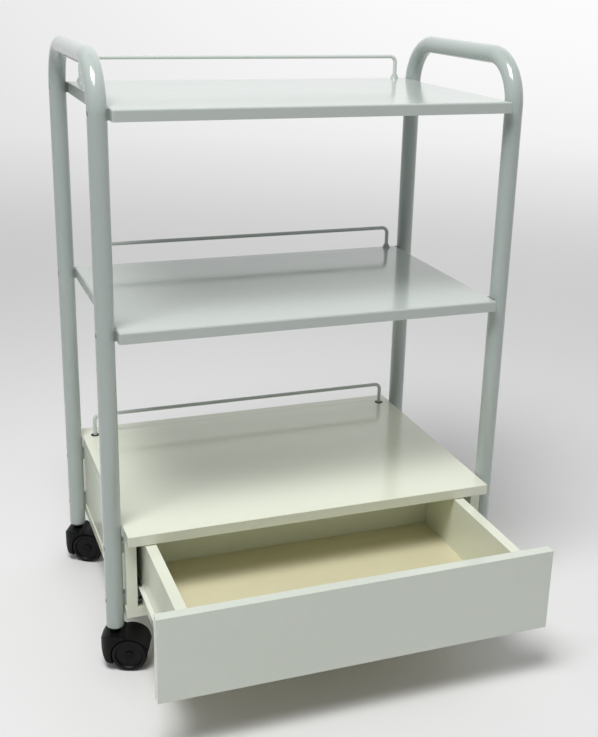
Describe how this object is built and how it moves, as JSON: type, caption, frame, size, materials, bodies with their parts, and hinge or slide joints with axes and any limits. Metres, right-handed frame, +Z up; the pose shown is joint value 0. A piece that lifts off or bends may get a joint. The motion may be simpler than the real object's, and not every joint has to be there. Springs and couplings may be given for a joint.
{
  "type": "mobile printer stand",
  "caption": "Mobile printer stand: bent-tube side frames on twin-wheel casters, folded steel shelves with wire back rails, and a board cabinet with an open drawer.",
  "frame": {"origin": "on the floor, midway between the axes of the front, rear, left and right legs", "axes": "+Z up; -Y towards the side the drawer opens to; +X to the right of someone facing the drawer"},
  "size_m": [0.6395, 0.567, 0.8405],
  "materials": {
    "tube_paint": "gloss pale grey stove enamel",
    "shelf_enamel": "gloss off-white stove enamel",
    "wire_enamel": "gloss pale grey enamel on wire",
    "melamine": "off-white melamine facing, satin",
    "base_panel": "thin cream-faced hardboard, satin",
    "slide_enamel": "white enamelled rolled steel",
    "slide_zinc": "dull zinc-plated rolled steel",
    "roller_nylon": "smooth dark grey nylon",
    "zinc_steel": "zinc-plated steel",
    "beech": "bare beech",
    "black_plastic": "black moulded plastic, fine satin grain",
    "grey_plastic": "grey moulded plastic, satin",
    "black_nylon": "black moulded nylon"
  },
  "bodies": {
    "stand": {"cabinet_back_board": "melamine", "cabinet_bolts": "zinc_steel", "cabinet_bottom_board": "melamine", "cabinet_dowels": "beech", "cabinet_left_side": "melamine", "cabinet_rail": "wire_enamel", "cabinet_right_side": "melamine", "cabinet_screws": "zinc_steel", "cabinet_slide_screws": "zinc_steel", "cabinet_top_board": "melamine", "caster_sockets": "black_plastic", "caster_stems": "zinc_steel", "front_roller_rivets": "zinc_steel", "left_side_frame": "tube_paint", "left_slide_channel": "slide_zinc", "leg_spacers": "grey_plastic", "middle_shelf": "shelf_enamel", "middle_shelf_rail": "wire_enamel", "rail_grommets": "black_plastic", "rail_nuts": "zinc_steel", "right_side_frame": "tube_paint", "right_slide_channel": "slide_zinc", "shelf_bolts": "zinc_steel", "shelf_nuts": "zinc_steel", "slide_packing_strip": "melamine", "top_shelf": "shelf_enamel", "top_shelf_rail": "wire_enamel"},
    "drawer": {"drawer_dowels": "beech", "drawer_screws": "zinc_steel", "drawer_slide_screws": "zinc_steel", "rear_roller_rivets": "zinc_steel", "drawer_base": "base_panel", "drawer_front": "melamine", "drawer_back": "melamine", "drawer_left_side": "melamine", "drawer_right_side": "melamine", "left_slide_runner": "slide_enamel", "right_slide_runner": "slide_enamel"},
    "left_front_roller": {"left_front_roller": "roller_nylon"},
    "right_front_roller": {"right_front_roller": "roller_nylon"},
    "left_rear_roller": {"left_rear_roller": "roller_nylon"},
    "right_rear_roller": {"right_rear_roller": "roller_nylon"},
    "front_left_caster": {"front_left_caster_hood": "black_plastic", "front_left_caster_axle": "black_plastic"},
    "front_left_near_wheel": {"front_left_near_wheel": "black_nylon"},
    "front_left_far_wheel": {"front_left_far_wheel": "black_nylon"},
    "front_right_caster": {"front_right_caster_hood": "black_plastic", "front_right_caster_axle": "black_plastic"},
    "front_right_near_wheel": {"front_right_near_wheel": "black_nylon"},
    "front_right_far_wheel": {"front_right_far_wheel": "black_nylon"},
    "rear_left_caster": {"rear_left_caster_hood": "black_plastic", "rear_left_caster_axle": "black_plastic"},
    "rear_left_near_wheel": {"rear_left_near_wheel": "black_nylon"},
    "rear_left_far_wheel": {"rear_left_far_wheel": "black_nylon"},
    "rear_right_caster": {"rear_right_caster_hood": "black_plastic", "rear_right_caster_axle": "black_plastic"},
    "rear_right_near_wheel": {"rear_right_near_wheel": "black_nylon"},
    "rear_right_far_wheel": {"rear_right_far_wheel": "black_nylon"}
  },
  "joints": [
    {"name": "drawer_slide", "type": "slide", "parent": "stand", "child": "drawer", "axis": [0, -1, 0], "range_m": [-0.183, 0.035]},
    {"name": "left_front_roller_turn", "type": "hinge", "parent": "stand", "child": "left_front_roller", "pos_m": [-0.25125, -0.167, 0.1138], "axis": [1, 0, 0], "range_deg": [-1215, 240]},
    {"name": "left_rear_roller_turn", "type": "hinge", "parent": "drawer", "child": "left_rear_roller", "pos_m": [-0.25025, -0.113, 0.1138], "axis": [1, 0, 0], "range_deg": [-1215, 240]},
    {"name": "right_front_roller_turn", "type": "hinge", "parent": "stand", "child": "right_front_roller", "pos_m": [0.23625, -0.167, 0.1138], "axis": [1, 0, 0], "range_deg": [-1215, 240]},
    {"name": "right_rear_roller_turn", "type": "hinge", "parent": "drawer", "child": "right_rear_roller", "pos_m": [0.23525, -0.113, 0.1138], "axis": [1, 0, 0], "range_deg": [-1215, 240]},
    {"name": "front_left_swivel", "type": "hinge", "parent": "stand", "child": "front_left_caster", "pos_m": [-0.284, -0.16, 0.0505], "axis": [0, 0, 1], "continuous": true},
    {"name": "front_left_near_wheel_turn", "type": "hinge", "parent": "front_left_caster", "child": "front_left_near_wheel", "pos_m": [-0.26858, -0.17902, 0.025], "axis": [0.342, 0.9397, 0], "continuous": true},
    {"name": "front_left_far_wheel_turn", "type": "hinge", "parent": "front_left_caster", "child": "front_left_far_wheel", "pos_m": [-0.25996, -0.15534, 0.025], "axis": [0.342, 0.9397, 0], "continuous": true},
    {"name": "front_right_swivel", "type": "hinge", "parent": "stand", "child": "front_right_caster", "pos_m": [0.284, -0.16, 0.0505], "axis": [0, 0, 1], "continuous": true},
    {"name": "front_right_near_wheel_turn", "type": "hinge", "parent": "front_right_caster", "child": "front_right_near_wheel", "pos_m": [0.30133, -0.17731, 0.025], "axis": [0.2419, 0.9703, 0], "continuous": true},
    {"name": "front_right_far_wheel_turn", "type": "hinge", "parent": "front_right_caster", "child": "front_right_far_wheel", "pos_m": [0.30742, -0.15285, 0.025], "axis": [0.2419, 0.9703, 0], "continuous": true},
    {"name": "rear_left_swivel", "type": "hinge", "parent": "stand", "child": "rear_left_caster", "pos_m": [-0.284, 0.16, 0.0505], "axis": [0, 0, 1], "continuous": true},
    {"name": "rear_left_near_wheel_turn", "type": "hinge", "parent": "rear_left_caster", "child": "rear_left_near_wheel", "pos_m": [-0.27137, 0.13902, 0.025], "axis": [0.4695, 0.8829, 0], "continuous": true},
    {"name": "rear_left_far_wheel_turn", "type": "hinge", "parent": "rear_left_caster", "child": "rear_left_far_wheel", "pos_m": [-0.25954, 0.16127, 0.025], "axis": [0.4695, 0.8829, 0], "continuous": true},
    {"name": "rear_right_swivel", "type": "hinge", "parent": "stand", "child": "rear_right_caster", "pos_m": [0.284, 0.16, 0.0505], "axis": [0, 0, 1], "continuous": true},
    {"name": "rear_right_near_wheel_turn", "type": "hinge", "parent": "rear_right_caster", "child": "rear_right_near_wheel", "pos_m": [0.29875, 0.14045, 0.025], "axis": [0.3746, 0.9272, 0], "continuous": true},
    {"name": "rear_right_far_wheel_turn", "type": "hinge", "parent": "rear_right_caster", "child": "rear_right_far_wheel", "pos_m": [0.30819, 0.16382, 0.025], "axis": [0.3746, 0.9272, 0], "continuous": true}
  ],
  "couplings": [
    {"joint": "left_front_roller_turn", "follows": "drawer_slide", "rad_per_m": 114.94},
    {"joint": "left_rear_roller_turn", "follows": "drawer_slide", "rad_per_m": 114.94},
    {"joint": "right_front_roller_turn", "follows": "drawer_slide", "rad_per_m": 114.94},
    {"joint": "right_rear_roller_turn", "follows": "drawer_slide", "rad_per_m": 114.94}
  ]
}
